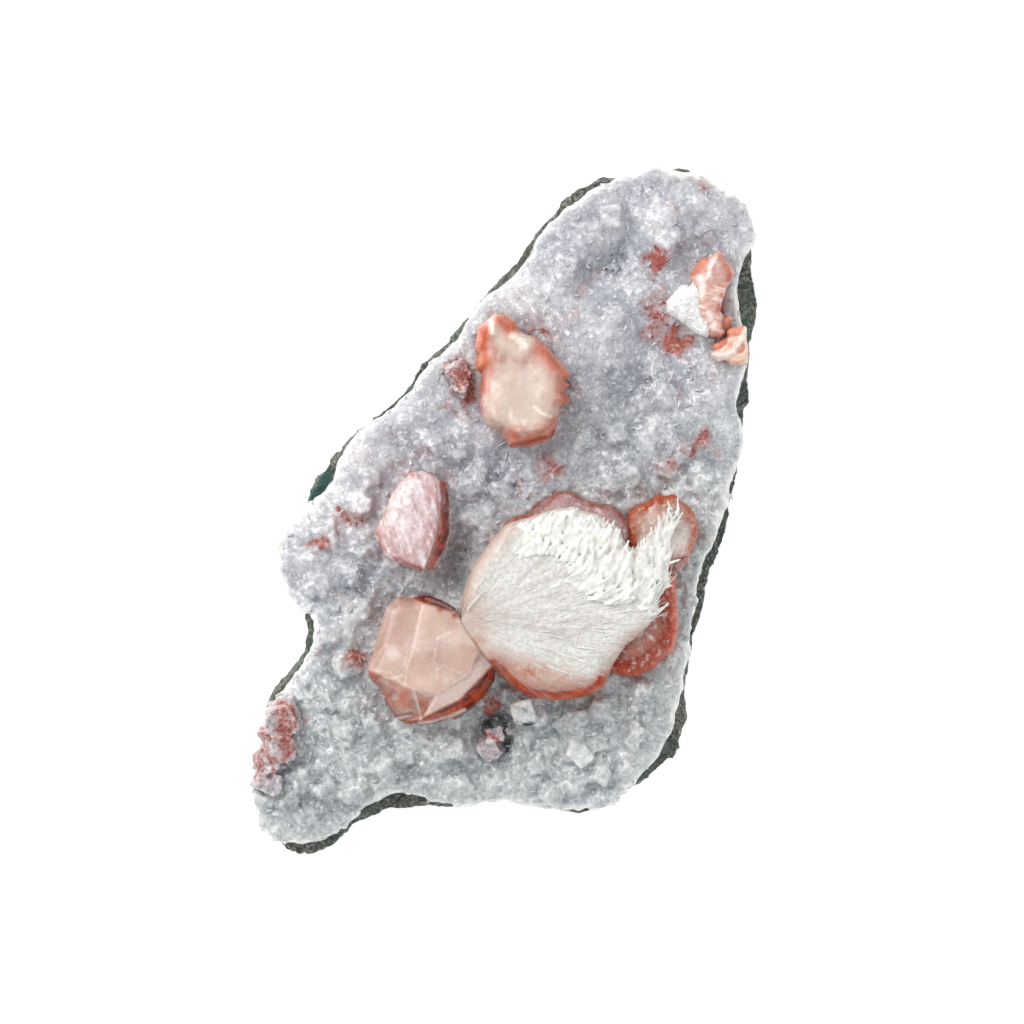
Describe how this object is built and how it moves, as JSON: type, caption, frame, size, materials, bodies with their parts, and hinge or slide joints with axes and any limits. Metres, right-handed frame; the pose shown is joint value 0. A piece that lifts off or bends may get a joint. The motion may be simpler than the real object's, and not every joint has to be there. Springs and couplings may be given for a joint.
{
  "type": "apophyllite specimen",
  "caption": "Mineral specimen that lies on its back: stilbite crystals and a fan on a pale druse crust over a basalt plate.",
  "frame": {"origin": "middle of the specimen's box in X and Y, on the surface that it lies on", "axes": "+Z out of the crystal face, +Y along the plate's length towards its narrow tilted end, +X across it"},
  "size_m": [0.1326, 0.1804, 0.0475],
  "materials": {
    "basalt": "rough dark grey-green rock",
    "druse": "translucent pale blue-grey crystals",
    "fan": "white silky fibres with translucent red rims",
    "block": "translucent peach, pearly",
    "tablet": "pearly pink, silky",
    "sheaf": "satin peach with orange-red rims",
    "spur": "salmon red, translucent",
    "tuft": "white, granular",
    "edge_crystal": "orange and cream, translucent",
    "small_crystals": "red-orange, translucent"
  },
  "bodies": {
    "root": {"basalt_matrix": "basalt", "druse_crust": "druse", "stilbite_fan": "fan", "stilbite_block": "block", "stilbite_tablet": "tablet", "stilbite_sheaf": "sheaf", "stilbite_spur": "spur", "scolecite_tuft": "tuft", "stilbite_edge_crystal": "edge_crystal", "stilbite_red_cluster": "small_crystals", "stilbite_vug_crystals": "small_crystals", "stilbite_satellite": "small_crystals"}
  },
  "joints": []
}
